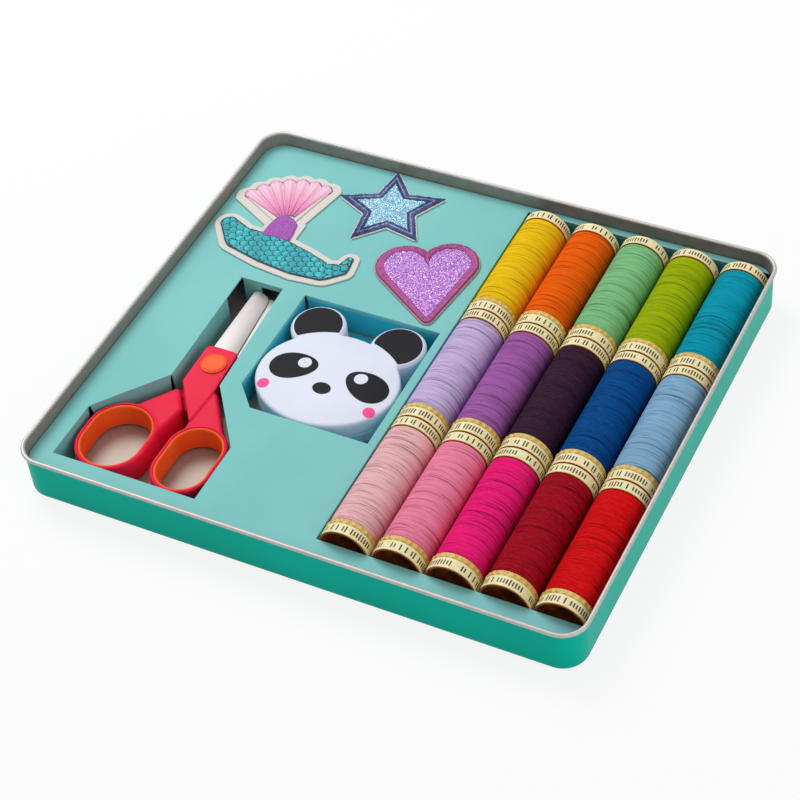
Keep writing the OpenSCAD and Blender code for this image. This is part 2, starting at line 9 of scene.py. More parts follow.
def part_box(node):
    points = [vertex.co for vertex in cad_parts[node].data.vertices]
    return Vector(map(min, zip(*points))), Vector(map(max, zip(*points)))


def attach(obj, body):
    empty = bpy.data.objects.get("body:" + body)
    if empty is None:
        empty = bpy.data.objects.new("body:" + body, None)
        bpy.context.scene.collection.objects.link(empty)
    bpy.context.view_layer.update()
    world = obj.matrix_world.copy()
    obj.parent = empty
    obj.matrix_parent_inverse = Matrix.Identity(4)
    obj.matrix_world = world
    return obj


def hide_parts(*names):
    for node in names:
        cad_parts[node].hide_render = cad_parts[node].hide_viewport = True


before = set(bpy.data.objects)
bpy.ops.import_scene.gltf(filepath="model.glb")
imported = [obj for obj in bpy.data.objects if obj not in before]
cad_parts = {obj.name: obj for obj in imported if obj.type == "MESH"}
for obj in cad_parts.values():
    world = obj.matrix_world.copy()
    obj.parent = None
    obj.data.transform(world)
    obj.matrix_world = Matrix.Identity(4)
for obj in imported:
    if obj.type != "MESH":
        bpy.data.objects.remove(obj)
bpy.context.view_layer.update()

MM = 0.001

# Points nearer than this, in metres, are at one height
LEVEL = 1e-6

# The camera, fitted to the tin's corners in the photograph: radians, metres, and the lens in millimetres
CAMERA_TURN, CAMERA_TILT, CAMERA_ROLL = -0.5568869, 0.8018366, -0.1278523
CAMERA_AT = (0.27841, -0.47747, 0.56282)
CAMERA_SHIFT = (0.0411, 0.0149)
LENS = 99.06

# Strength of the studio's even light, and the floor's share of white where it is seen
AMBIENT = 0.4
FLOOR_GLOW = 0.85

# The tin, in millimetres
RIM_D = 1.5
TIN_T = 0.5
CORNER_R = 9.0
FOOT_R = 1.2

# The plate of card that lies on the floor behind the panda
FOOT_FROM = 2.0
FOOT_T = 0.16

# A spool, measured along its axis from its front end
FLANGE_R = 9.5
SPOOL_LEN = 56.4
BAND_FRONT = 4.6
BAND_BACK = 4.3
FLANGE_T = 1.9
SCALLOPS = 24
CORE_R = 4.5
BORE_R = 3.3
CUP_WALL = 0.7
BAND_R = 9.2
THREAD_R = 9.25
THREAD_FROM = 6.6
THREAD_TO = 52.0
SCALLOP_DEPTH = 0.36
FLANGE_EASE = 0.3

# How the thread lies: two sets of strands, and stray turns pressed into them
PITCH = 0.78
CROSS_PITCH = 1.27
STRAND_DEPTH = 0.09
CROSS_DEPTH = 0.05
STRAY_TURNS = 150
RING_CUTS = 17

# Middle of the panda's face, its half axes and the height of its edge
HEAD_AT = (-23.4, -16.4)
HEAD_A = 26.9
HEAD_B = 22.4
CASE_TOP = 12.9
EAR_R = 10.3
EARS = ((-15.6, 23.2), (16.4, 23.6))
EAR_RIM = 1.4

# The face's prints, measured from its middle, and the step at which a print bends with the case
FACE_X = 0.7
EYE_OUT = 14.5
EYE_UP = 0.9
CHEEKS = ((-20.2, -10.5), (21.3, -9.6))
PRINT_STEP = 1.1
PRINT_DROP = 6

# The scissors' pivot
PIVOT = (-65.8, -23.8)
CAP_R = 4.9
CAP_T = 0.8

# The patches lie on the card
PATCH_Z = 13.0
FELT_T = 0.6
SATIN_T = 0.8
SATIN_W = 3.2
STAR_AT = (-42.1, 72.5)
STAR_TIP = 21.36
STAR_NOTCH = 10.4
STAR_TURN = 17.5
STAR_STITCHES = 44
HEART_AT = (-2.1, 20.8)
HEART_TURN = 25
HEART_LOBE = (8.3, 31.3)
HEART_LOBE_R = 10.9
HEART_TIP = (0.0, 2.8)
HEART_TIP_R = 2.3
HEART_STITCHES = 190
FIELD_T = 0.5
SHELL_AT = (-75.45, 50.35)

# The shell's fan: its ribs, the way it points, half its spread in degrees, its reach and its hinge
RIBS = 7
FAN_TURN = 115.0
FAN_HALF = 44.0
FAN_REACH = 24.6
FAN_HINGE = 4

# The wave under the shell, as places along its middle with half its width there
WAVE = ((-21, -7, 3.4), (-13.1, -13.1, 6), (0.9, -14.9, 7.6), (14.9, -17.5, 6.7), (25.4, -18.8, 4.6),
        (31.5, -15.3, 2.9), (32, -9.2, 1.4))
SCALE_ROW = 2.9
SCALE_WIDE = 3.1

# Thread colours, front row to back row, each from left to right
THREADS = (
    ("pale_pink", "#F9C0C3"), ("rose", "#F98AAC"), ("magenta", "#F91C7C"), ("crimson", "#A60720"),
    ("red", "#DF0A10"), ("lilac", "#D1BBE7"), ("violet", "#A861AD"), ("plum", "#371C31"),
    ("blue", "#004B8F"), ("pale_blue", "#89B7D8"), ("yellow", "#F9CA0E"), ("orange", "#F96400"),
    ("mint", "#84C88B"), ("lime", "#A0B800"), ("petrol", "#009CB6"),
)


# Modelling helpers

def deselect():
    """Object mode with nothing selected."""
    if bpy.context.mode != "OBJECT":
        bpy.ops.object.mode_set(mode="OBJECT")
    bpy.ops.object.select_all(action="DESELECT")


def only(piece):
    """Selects one piece and nothing else."""
    deselect()
    piece.select_set(True)
    bpy.context.view_layer.objects.active = piece


def edit(piece, select="SELECT"):
    only(piece)
    bpy.ops.object.mode_set(mode="EDIT")
    bpy.ops.mesh.select_all(action=select)


def done(piece):
    bpy.ops.object.mode_set(mode="OBJECT")
    return piece


def pick(piece, faces=None, edges=None):
    """Selects the faces or edges for which a test on their middle (and normal) is true, then edits."""
    edit(piece, "DESELECT")
    bpy.ops.mesh.select_mode(type="FACE" if faces else "EDGE")
    bpy.ops.object.mode_set(mode="OBJECT")
    mesh = piece.data
    if faces:
        for face in mesh.polygons:
            face.select = bool(faces(face.center, face.normal))
    else:
        for edge in mesh.edges:
            a, b = (mesh.vertices[i].co for i in edge.vertices)
            edge.select = bool(edges(a, b))
    bpy.ops.object.mode_set(mode="EDIT")


def named(name):
    piece = bpy.context.object
    piece.name = name
    piece.data.name = name
    return piece


def modified(piece, kind, **settings):
    """Adds a modifier and applies it."""
    only(piece)
    modifier = piece.modifiers.new(kind.lower(), kind)
    for key, value in settings.items():
        setattr(modifier, key, value)
    bpy.ops.object.modifier_apply(modifier=modifier.name)
    return piece


def closed(piece):
    """Doubles merged and faces turned outwards."""
    edit(piece)
    bpy.ops.mesh.remove_doubles(threshold=0.002 * MM)
    bpy.ops.mesh.normals_make_consistent(inside=False)
    return done(piece)


def smooth(piece, angle=35):
    only(piece)
    bpy.ops.object.shade_smooth_by_angle(angle=math.radians(angle))
    return piece


def points_of(piece):
    co = np.empty(len(piece.data.vertices) * 3)
    piece.data.vertices.foreach_get("co", co)
    return co.reshape(-1, 3)


def move_points(piece, co):
    piece.data.vertices.foreach_set("co", np.ascontiguousarray(co, dtype=np.float32).ravel())
    piece.data.update()
    return piece


def extrude(x, y, z):
    bpy.ops.mesh.extrude_region_move(TRANSFORM_OT_translate={"value": (x, y, z)})


def stamp(piece, name, values):
    """A value at each point, which the materials read."""
    piece.data.attributes.new(name, "FLOAT", "POINT").data.foreach_set("value", values)


def remeshed(piece, cell):
    """The piece's skin laid anew in even cells, given in millimetres."""
    piece.data.remesh_voxel_size = cell * MM
    only(piece)
    bpy.ops.object.voxel_remesh()
    return piece


def joined(first, *others):
    deselect()
    for piece in (first, *others):
        piece.select_set(True)
    bpy.context.view_layer.objects.active = first
    bpy.ops.object.join()
    return first


def copied(piece, name, matrix=Matrix()):
    """A copy with its own mesh, moved to its place."""
    twin = piece.copy()
    twin.data = piece.data.copy()
    twin.data.transform(matrix)
    twin.name = twin.data.name = name
    bpy.context.collection.objects.link(twin)
    return twin


def from_node(node, name):
    """A merged copy of a CAD node's mesh."""
    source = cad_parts[node]
    piece = bpy.data.objects.new(name, source.data.copy())
    piece.data.name = name
    piece.data.materials.clear()
    bpy.context.collection.objects.link(piece)
    if piece.data.has_custom_normals:
        only(piece)
        bpy.ops.mesh.customdata_custom_splitnormals_clear()
    edit(piece)
    bpy.ops.mesh.remove_doubles(threshold=0.004 * MM)
    bpy.ops.mesh.dissolve_limited(angle_limit=math.radians(0.5))
    return done(piece)


def moulded(node, name, cell, rounds):
    """A CAD node's form with its edges eased, as a moulding has them."""
    piece = remeshed(from_node(node, name), cell)
    modified(piece, "SMOOTH", factor=0.6, iterations=rounds)
    return smooth(piece, 80)


def outline(name, points, z):
    """A flat face through the points, in millimetres."""
    deselect()
    bpy.ops.mesh.primitive_circle_add(vertices=len(points), radius=MM, fill_type="NGON")
    piece = named(name)
    return move_points(piece, [(x * MM, y * MM, z * MM) for x, y in points])


def plate(name, points, low, high, ease=0.0):
    """A plate with an upper edge that is eased."""
    piece = outline(name, points, low)
    edit(piece)
    extrude(0, 0, (high - low) * MM)
    done(piece)
    pick(piece, faces=lambda c, n: abs(c.z - high * MM) < LEVEL)
    bpy.ops.mesh.duplicate()
    bpy.ops.transform.translate(value=(0, 0, (low - high) * MM))
    bpy.ops.mesh.flip_normals()
    done(piece)
    closed(piece)
    if ease:
        pick(piece, edges=lambda a, b: min(a.z, b.z) > (high - 0.01) * MM)
        bpy.ops.mesh.bevel(offset=ease * MM, segments=3, affect="EDGES")
        done(piece)
    return smooth(piece)


def turned(name, profile, segments=64):
    """A piece turned about Z from (radius, height) points in millimetres; off the axis it is a ring."""
    if profile[0][0]:
        profile = [*profile, profile[0]]
    deselect()
    bpy.ops.mesh.primitive_plane_add(size=MM)
    piece = named(name)
    edit(piece)
    bpy.ops.mesh.select_mode(type="VERT")
    bpy.ops.mesh.merge(type="CENTER")
    bpy.ops.transform.translate(value=(profile[0][0] * MM, 0, profile[0][1] * MM))
    for (r0, z0), (r1, z1) in zip(profile, profile[1:]):
        extrude((r1 - r0) * MM, 0, (z1 - z0) * MM)
    bpy.ops.mesh.select_all(action="SELECT")
    bpy.ops.mesh.spin(steps=segments, angle=2 * math.pi, center=(0, 0, 0), axis=(0, 0, 1))
    done(piece)
    return smooth(closed(piece))


def paint(piece, *finishes):
    for finish in finishes:
        piece.data.materials.append(finish)
    return piece


def mark_faces(piece, number, test):
    """Gives the faces that pass a test on middle and normal the finish of that number."""
    for face in piece.data.polygons:
        if test(face.center, face.normal):
            face.material_index = number
    return piece


def carry(piece, body, slot, *nodes):
    """The piece rides on its body and stands for its CAD nodes."""
    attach(piece, body)
    if nodes:
        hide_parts(*nodes)
    return piece


# Materials

def tint(code):
    """An sRGB colour as linear red, green, blue and alpha."""
    parts = [int(code[i:i + 2], 16) / 255 for i in (1, 3, 5)]
    return (*[c / 12.92 if c <= 0.04045 else ((c + 0.055) / 1.055) ** 2.4 for c in parts], 1.0)


class Tree:
    """The nodes of a material or the world, with short ways to add to them."""

    def __init__(self, owner):
        owner.use_nodes = True
        self.tree = owner.node_tree

    def set(self, node, socket, value):
        where = node.inputs[socket]
        if isinstance(value, bpy.types.NodeSocket):
            self.tree.links.new(value, where)
        elif isinstance(value, str):
            where.default_value = tint(value)
        else:
            where.default_value = value

    def add(self, kind, out=0, options=(), **inputs):
        node = self.tree.nodes.new("ShaderNode" + kind)
        for key, value in dict(options).items():
            setattr(node, key, value)
        for key, value in inputs.items():
            socket = int(key[1:]) if key[0] == "i" and key[1:].isdigit() else key.replace("_", " ")
            self.set(node, socket, value)
        return node.outputs[out]

    def math(self, what, a, b=0.5, c=0.5):
        return self.add("Math", options={"operation": what}, i0=a, i1=b, i2=c)

    def seen(self):
        """1 for rays that the camera, a gloss or a glass sees the backdrop by."""
        path = self.add("LightPath").node.outputs
        seen = self.math("MAXIMUM", path["Is Camera Ray"], path["Is Glossy Ray"])
        return self.math("MAXIMUM", seen, path["Is Transmission Ray"])


class Finish(Tree):
    """A material with its shader and short ways to add what varies over its surface."""

    def __init__(self, name, colour, **sockets):
        self.material = bpy.data.materials.new(name)
        super().__init__(self.material)
        self.shader = self.tree.nodes["Principled BSDF"]
        self.set(self.shader, "Base Color", colour)
        for key, value in sockets.items():
            self.set(self.shader, key.replace("_", " "), value)

    def place(self, stretch=(1, 1, 1)):
        """Object coordinates in millimetres, stretched."""
        return self.add("Mapping", Vector=self.add("TexCoord", "Object"), Scale=[s / MM for s in stretch])

    def noise(self, scale, detail=3, rough=0.5, stretch=(1, 1, 1)):
        """Noise whose grains are about 1/scale millimetres across."""
        where = self.place(stretch)
        return self.add("TexNoise", Vector=where, Scale=scale, Detail=detail, Roughness=rough)

    def ramp(self, fac, *stops):
        out = self.add("ValToRGB", i0=fac)
        ramp = out.node.color_ramp
        while len(ramp.elements) < len(stops):
            ramp.elements.new(0.5)
        for element, (at, colour) in zip(ramp.elements, stops):
            element.position = at
            element.color = tint(colour) if isinstance(colour, str) else (colour, colour, colour, 1)
        return out

    def mix(self, fac, a, b):
        node = self.add("Mix", 2, {"data_type": "RGBA"}).node
        self.set(node, 0, fac)
        self.set(node, 6, a)
        self.set(node, 7, b)
        return node.outputs[2]

    def attribute(self, name):
        return self.add("Attribute", "Fac", {"attribute_name": name})

    def colour(self, value):
        self.set(self.shader, "Base Color", value)
        return self

    def rough(self, fac, low, high):
        """Roughness that follows fac, from low to high."""
        self.set(self.shader, "Roughness", self.add("MapRange", Value=fac, i3=low, i4=high))
        return self

    def bump(self, height, depth):
        """A relief of that depth in millimetres."""
        self.set(self.shader, "Normal", self.add("Bump", Height=height, Distance=depth * MM, Strength=1.0))
        return self


def enamel():
    """Teal enamel with a soft gloss and a faint orange peel."""
    f = Finish("teal_enamel", "#00B9A4", IOR=1.1)
    cloud = f.noise(0.02, detail=2)
    f.colour(f.mix(f.ramp(cloud, (0.3, 0.0), (0.7, 1.0)), "#00B5A0", "#00BDA8"))
    f.rough(f.noise(0.5), 0.28, 0.4)
    return f.bump(f.noise(0.9, detail=2), 0.012).material


def tinplate(name, dark, light, metal):
    """Bare rolled tinplate with a warm lacquer."""
    f = Finish(name, dark, Metallic=metal)
    rolled = f.noise(0.25, detail=5, rough=0.6, stretch=(1, 8, 1))
    f.colour(f.ramp(rolled, (0.25, dark), (0.75, light)))
    f.rough(rolled, 0.4, 0.55)
    return f.bump(f.noise(1.2, stretch=(1, 6, 1)), 0.01).material


def card_stock():
    """Teal coated card, with painted shade that deepens its colour down the flaps of the panda's well."""
    f = Finish("teal_card", "#80C7C4", Roughness=0.62, IOR=1.2)
    fibres = f.noise(1.6, detail=6, rough=0.7)
    cloud = f.noise(0.03, detail=2)
    face = f.mix(f.ramp(cloud, (0.35, 0.0), (0.65, 1.0)), "#7FC8C6", "#86CDCB")
    face = f.mix(f.ramp(fibres, (0.3, 0.0), (0.8, 0.25)), face, "#97D4D2")
    where = f.add("SeparateXYZ", 0, Vector=f.place())
    # Painted shade: right of the scissors' well, the card is mixed towards a deeper teal the lower it lies on
    # the flaps
    low = f.add("MapRange", Value=where.node.outputs[2], i1=12.6, i2=10.5, i3=0.0, i4=1.0)
    right = f.math("GREATER_THAN", where, -56.0)
    f.colour(f.mix(f.math("MULTIPLY", low, right), face, "#36BCD2"))
    return f.bump(fibres, 0.02).material


def band_label():
    """Cream printed label with a scale of plain ticks between amber edges."""
    f = Finish("band_label", "#EBDFAE", Roughness=0.45, Specular_IOR_Level=0.3)
    uv = f.add("SeparateXYZ", 0, Vector=f.add("TexCoord", "UV"))
    across = uv.node.outputs[1]
    step = f.math("MULTIPLY", uv, 54.0)
    dice = f.add("TexWhiteNoise", 0, {"noise_dimensions": "1D"}, W=f.math("FLOOR", step))
    mark = f.math("LESS_THAN", f.math("FRACT", step), 0.5)
    mark = f.math("MULTIPLY", mark, f.math("GREATER_THAN", dice, 0.16))
    tall = f.math("MULTIPLY_ADD", dice, 0.14, 0.17)
    middle = f.math("ABSOLUTE", f.math("SUBTRACT", across, 0.5))
    mark = f.math("MULTIPLY", mark, f.math("LESS_THAN", middle, tall))
    paper = f.mix(f.ramp(f.noise(0.8), (0.35, 0.0), (0.7, 1.0)), "#F6ECC0", "#EADBA0")
    paper = f.mix(f.ramp(middle, (0.45, 0.0), (0.48, 1.0)), paper, "#B97A2A")
    f.colour(f.mix(mark, paper, "#3A352B"))
    return f.bump(f.noise(1.5), 0.01).material


def spool_plastic(name, base, dark, light, scale, low):
    """Moulded plastic of the spools, golden on the flanges and amber in the hollow ends."""
    f = Finish(name, base, Specular_IOR_Level=0.4)
    swirl = f.noise(scale)
    f.colour(f.ramp(swirl, (0.3, dark), (0.7, light)))
    f.rough(swirl, low, low + 0.15)
    return f.bump(f.noise(2.0), 0.01).material


def yarn(name, code):
    """Spun thread with painted shade: dark in the grooves between the strands, its own colour along their
    crowns, and pale fibres strewn at random.
    """
    f = Finish("thread_" + name, code, Roughness=0.8, IOR=1.15)
    base = tint(code)
    deep = tuple(c * 0.34 for c in base[:3]) + (1,)
    pale = tuple(min(1.0, c * 0.92 + 0.045) for c in base[:3]) + (1,)
    dull = tuple(c * 0.74 for c in base[:3]) + (1,)
    strands = f.noise(1.1, detail=3, rough=0.7, stretch=(0.05, 1, 0.05))
    fibre = f.noise(2.6, detail=4, stretch=(0.2, 1, 0.2))
    shade = f.mix(f.ramp(strands, (0.36, 0.0), (0.62, 1.0)), dull, base)
    # Painted shade: where the depth value is low, in the grooves, the colour is darkened to a third
    shade = f.mix(f.ramp(f.attribute("depth"), (0.2, 0.0), (0.75, 1.0)), deep, shade)
    f.colour(f.mix(f.ramp(fibre, (0.5, 0.0), (0.85, 0.5)), shade, pale))
    return f.bump(fibre, 0.06).material


def hard_plastic(name, dark, light, low, high, gloss=0.3):
    """Moulded plastic with a faint flow pattern."""
    f = Finish(name, dark, Specular_IOR_Level=gloss)
    flow = f.noise(0.06, detail=2)
    f.colour(f.ramp(flow, (0.3, dark), (0.7, light)))
    f.rough(f.noise(0.8), low, high)
    return f.bump(f.noise(1.5, detail=2), 0.004).material


def soft_rubber():
    """Orange soft liner of the finger loops."""
    f = Finish("orange_rubber", "#F5561A", Specular_IOR_Level=0.25)
    grain = f.noise(3.0, detail=4)
    f.colour(f.ramp(f.noise(0.1), (0.3, "#F4500F"), (0.7, "#FC6A26")))
    f.rough(grain, 0.5, 0.65)
    return f.bump(grain, 0.02).material


def brushed_steel():
    """Blade steel, ground along its length to a dull sheen."""
    f = Finish("blade_steel", "#C9C1BF", Metallic=0.35)
    lines = f.noise(1.5, detail=5, rough=0.65, stretch=(3, 0.06, 1))
    f.colour(f.ramp(lines, (0.25, "#CFC7C5"), (0.75, "#DDD5D3")))
    f.rough(lines, 0.5, 0.62)
    return f.bump(lines, 0.006).material


def plain_metal(name, dark, light):
    f = Finish(name, dark, Metallic=0.9)
    grain = f.noise(1.0, detail=4)
    f.colour(f.ramp(grain, (0.3, dark), (0.7, light)))
    f.rough(grain, 0.3, 0.45)
    return f.bump(grain, 0.01).material


def felt(name, dark, light):
    """Matted felt fibres."""
    f = Finish(name, light, Roughness=0.95, Sheen_Weight=0.12, Specular_IOR_Level=0.1)
    fibres = f.noise(2.5, detail=6, rough=0.75)
    f.colour(f.ramp(fibres, (0.3, dark), (0.7, light)))
    return f.bump(fibres, 0.08).material


def satin(name, pale, *stops):
    """Satin stitch whose colours are read across the border, with painted shade on the lower stitches and at
    the border's foot.
    """
    f = Finish(name, pale, Roughness=0.55, Specular_IOR_Level=0.2)
    across = f.add("SeparateXYZ", 1, Vector=f.add("TexCoord", "UV"))
    row = f.ramp(across, *stops)
    fibre = f.noise(3.0, detail=4)
    # Painted shade: the lower stitches and the foot of the border are darkened by up to 42 percent, following
    # the depth value
    shade = f.mix(f.ramp(f.attribute("depth"), (0.0, 0.0), (1.0, 1.0)), f.mix(0.42, row, "#000000"), row)
    f.colour(f.mix(f.ramp(fibre, (0.5, 0.0), (0.95, 0.4)), shade, pale))
    return f.bump(fibre, 0.04).material


def glitter(name, *colours):
    """Glitter flakes, each with its own colour and gloss."""
    f = Finish(name, colours[0], Metallic=0.35)
    cell = f.add("TexVoronoi", "Color", Vector=f.place(), Scale=3.0)
    dice = f.add("SeparateColor", 0, Color=cell)
    stops = [(i / (len(colours) - 1), code) for i, code in enumerate(colours)]
    f.colour(f.ramp(dice, *stops))
    f.rough(dice.node.outputs[1], 0.18, 0.55)
    return f.bump(dice.node.outputs[2], 0.15).material


def printed(name, edge, dark, light):
    """Sewn print: a dark line at the outline, cloth that goes from dark to light."""
    f = Finish(name, light, Roughness=0.75, Specular_IOR_Level=0.15)
    weave = f.noise(2.5, detail=4)
    tone = f.ramp(f.attribute("tone"), (0.0, edge), (0.12, edge), (0.2, dark), (1.0, light))
    f.colour(f.mix(f.ramp(weave, (0.45, 0.0), (0.9, 0.35)), tone, "#FFFFFF"))
    return f.bump(weave, 0.04).material


# Camera, floor and light

def add_camera():
    """The photograph's view, from the front right and above."""
    flat = math.cos(CAMERA_TILT)
    ahead = Vector((math.sin(CAMERA_TURN) * flat, math.cos(CAMERA_TURN) * flat, -math.sin(CAMERA_TILT)))
    right = Vector((math.cos(CAMERA_TURN), -math.sin(CAMERA_TURN), 0))
    above = right.cross(ahead)
    across = math.cos(CAMERA_ROLL) * right + math.sin(CAMERA_ROLL) * above
    upright = math.cos(CAMERA_ROLL) * above - math.sin(CAMERA_ROLL) * right
    data = bpy.data.cameras.new("camera")
    data.sensor_width, data.lens = 36, LENS
    data.shift_x, data.shift_y = CAMERA_SHIFT
    camera = bpy.data.objects.new("camera", data)
    place = Matrix((across, upright, -ahead)).transposed().to_4x4()
    place.translation = CAMERA_AT
    camera.matrix_world = place
    bpy.context.collection.objects.link(camera)
    bpy.context.scene.camera = camera


def add_floor():
    """A pale floor that keeps a soft shadow."""
    deselect()
    bpy.ops.mesh.primitive_plane_add(size=6, location=(0, 0, -0.2 * MM))
    floor = named("floor")
    f = Finish("floor_white", "#F4F4F4", Roughness=0.9)
    glow = f.add("Emission", Color=(1, 1, 1, 1), Strength=1.0)
    share = f.math("MULTIPLY", f.seen(), FLOOR_GLOW)
    both = f.add("MixShader", i0=share, i1=f.shader.outputs[0], i2=glow)
    f.set(f.tree.nodes["Material Output"], "Surface", both)
    paint(floor, f.material)


def add_world():
    """White where it is seen, a soft grey light elsewhere."""
    world = bpy.data.worlds.new("studio")
    bpy.context.scene.world = world
    studio = Tree(world)
    ground = studio.tree.nodes["Background"]
    studio.set(ground, 0, (1, 1, 1, 1))
    studio.set(ground, 1, studio.add("MapRange", Value=studio.seen(), i3=AMBIENT, i4=1.0))


def add_light(name, place, size, watts):
    """A round soft light that points at the middle of the tin."""
    data = bpy.data.lights.new(name, "AREA")
    data.shape = "DISK"
    data.size, data.energy = size, watts
    light = bpy.data.objects.new(name, data)
    light.location = place
    light.rotation_euler = (-Vector(place)).to_track_quat("-Z", "Y").to_euler()
    bpy.context.collection.objects.link(light)


# The tin and its card

def rounded(half_x, half_y, z, name):
    """A flat plate with rounded corners."""
    deselect()
    bpy.ops.mesh.primitive_plane_add(size=2)
    piece = named(name)
    edit(piece)
    bpy.ops.transform.resize(value=(half_x, half_y, 1))
    bpy.ops.transform.translate(value=(0, 0, z))
    bpy.ops.mesh.bevel(offset=CORNER_R * MM, segments=14, affect="VERTICES")
    return done(piece)


def make_tin():
    """The drawn shell with its rounded foot, and the wire rolled into its rim."""
    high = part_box("tin_body")[1]
    half_x = high.x - (RIM_D - TIN_T) * MM
    half_y = high.y - (RIM_D - TIN_T) * MM
    top = high.z - RIM_D / 2 * MM
    shell = rounded(half_x, half_y, top, "tin_shell")
    edit(shell)
    extrude(0, 0, -top)
    done(shell)
    pick(shell, faces=lambda c, n: c.z > top - LEVEL)
    bpy.ops.mesh.delete(type="FACE")
    done(shell)
    pick(shell, edges=lambda a, b: max(a.z, b.z) < LEVEL)
    bpy.ops.mesh.bevel(offset=FOOT_R * MM, segments=6, affect="EDGES")
    bpy.ops.mesh.select_all(action="SELECT")
    bpy.ops.mesh.normals_make_consistent(inside=False)
    done(shell)
    modified(shell, "SOLIDIFY", thickness=TIN_T * MM, offset=-1, use_even_offset=True)
    # The same tinplate is painted in three tones: darker on the inner walls as painted shade, paler on the
    # floor and palest on the rolled rim as painted light
    paint(shell, enamel(), tinplate("tinplate", "#857C75", "#A2988F", 0.3),
          tinplate("tin_floor_painted_light", "#A1958A", "#B6A99C", 0.2))
    mark_faces(shell, 1, lambda c, n: n.z > 0.5 or c.x * n.x + c.y * n.y < 0)
    mark_faces(shell, 2, lambda c, n: n.z > 0.9 and c.z < 2 * MM)
    out = (RIM_D / 2 - TIN_T) * MM
    rim = rounded(half_x + out, half_y + out, top, "rim")
    edit(rim)
    bpy.ops.mesh.delete(type="ONLY_FACE")
    done(rim)
    bpy.ops.object.convert(target="CURVE")
    rim = bpy.context.object
    rim.data.bevel_depth = RIM_D / 2 * MM
    rim.data.bevel_resolution = 5
    bpy.ops.object.convert(target="MESH")
    rim = named("rim")
    # The rim's paler tinplate is painted light
    paint(rim, tinplate("rolled_rim_painted_light", "#ACA7A3", "#CBC7C3", 0.4))
    shell = joined(shell, rim)
    smooth(shell, 40)
    carry(shell, "tin", "tin_paint", "tin_body")


def make_card():
    """The card's folded edges are eased, as a crease eases them."""
    sheet = from_node("insert_card", "card_insert")
    modified(sheet, "BEVEL", width=0.16 * MM, segments=2, limit_method="ANGLE",
             angle_limit=math.radians(30))
    smooth(sheet, 40)
    paint(sheet, card_stock())
    carry(sheet, "insert", "card", "insert_card")
    low, high = (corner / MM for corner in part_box("case_back"))
    left, right, back = low.x + 0.6, high.x - 0.4, high.y + 0.8
    corners = [(left, FOOT_FROM), (right, FOOT_FROM), (right, back), (left, back)]
    under = TIN_T + 0.06
    foot = plate("flap_foot", corners, under, under + FOOT_T)
    paint(foot, sheet.data.materials[0])
    carry(foot, "insert", "card")


# Spools

def wrap_uv(piece, low, high):
    """A map round the piece's Z axis: turns across, height up."""
    mesh = piece.data
    layer = mesh.uv_layers.new(name="round") if not mesh.uv_layers else mesh.uv_layers[0]
    for face in mesh.polygons:
        middle = math.atan2(face.center.y, face.center.x) / (2 * math.pi)
        for corner in face.loop_indices:
            at = mesh.vertices[mesh.loops[corner].vertex_index].co
            turn = math.atan2(at.y, at.x) / (2 * math.pi)
            turn += round(middle - turn)
            layer.data[corner].uv = (turn, (at.z / MM - low) / (high - low))


def spool_core():
    """Core tube, two label bands and hollow ends, turned as one."""
    cup = BAND_R - CUP_WALL
    ease = 0.08
    front_floor, back_floor = BAND_FRONT - CUP_WALL, SPOOL_LEN - BAND_BACK + 0.9
    web = BAND_FRONT + FLANGE_T
    return turned("spool_core", [
        (cup, ease), (cup + 0.2, 0), (BAND_R - ease, 0), (BAND_R, ease),
        (BAND_R, BAND_FRONT), (BAND_R, web), (CORE_R, web), (CORE_R, SPOOL_LEN - BAND_BACK),
        (BAND_R, SPOOL_LEN - BAND_BACK), (BAND_R, SPOOL_LEN - ease), (BAND_R - ease, SPOOL_LEN),
        (cup + 0.2, SPOOL_LEN), (cup, SPOOL_LEN - ease), (cup, back_floor + 0.3),
        (cup - 0.3, back_floor), (BORE_R, back_floor), (BORE_R, front_floor),
        (cup - 0.3, front_floor), (cup, front_floor - 0.3)])


def label_band(low, high):
    """The printed band's paper, a hair proud of the spool."""
    lift = 0.04
    return turned("label", [
        (BAND_R - 0.05, low), (BAND_R + lift, low), (BAND_R + lift, high), (BAND_R - 0.05, high)])


def scalloped_flange():
    """The flange: a turned ring whose rim is pressed into scallops."""
    inside, ease, back = CORE_R + 1, FLANGE_EASE, BAND_FRONT + FLANGE_T
    ring = turned("flange", [
        (inside, BAND_FRONT), (FLANGE_R - ease, BAND_FRONT), (FLANGE_R, BAND_FRONT + ease),
        (FLANGE_R, back - ease), (FLANGE_R - ease, back), (inside, back)], segments=SCALLOPS * 8)
    co = points_of(ring)
    radius = np.hypot(co[:, 0], co[:, 1])
    lobes = 0.5 + 0.5 * np.cos(np.arctan2(co[:, 1], co[:, 0]) * SCALLOPS)
    rim = np.clip((radius / MM - inside) / (FLANGE_R - inside), 0, 1)
    scale = 1 - rim * (1 - lobes) * SCALLOP_DEPTH * MM / radius
    co[:, :2] *= scale[:, None]
    return smooth(move_points(ring, co), 50)


def thread_blank():
    """The wound package before its strands are laid: a tube cut into many fine rings."""
    deselect()
    length = THREAD_TO - THREAD_FROM
    bpy.ops.mesh.primitive_cylinder_add(
        vertices=48, radius=THREAD_R * MM, depth=length * MM,
        location=(0, 0, (THREAD_FROM + length / 2) * MM), end_fill_type="NGON")
    piece = named("thread_blank")
    bpy.ops.object.transform_apply(location=True, rotation=True, scale=True)
    pick(piece, faces=lambda c, n: abs(n.z) > 0.5)
    bpy.ops.mesh.inset(thickness=(THREAD_R - CORE_R - 0.05) * MM, use_individual=True)
    bpy.ops.mesh.bridge_edge_loops()
    done(piece)

    def lengthwise(a, b):
        inner = min(math.hypot(a.x, a.y), math.hypot(b.x, b.y))
        return abs(a.z - b.z) > MM * 0.5 and inner > (THREAD_R - 1) * MM

    for _ in range(2):
        pick(piece, edges=lengthwise)
        bpy.ops.mesh.subdivide(number_cuts=RING_CUTS, quadcorner="INNERVERT")
        done(piece)
    return closed(piece)


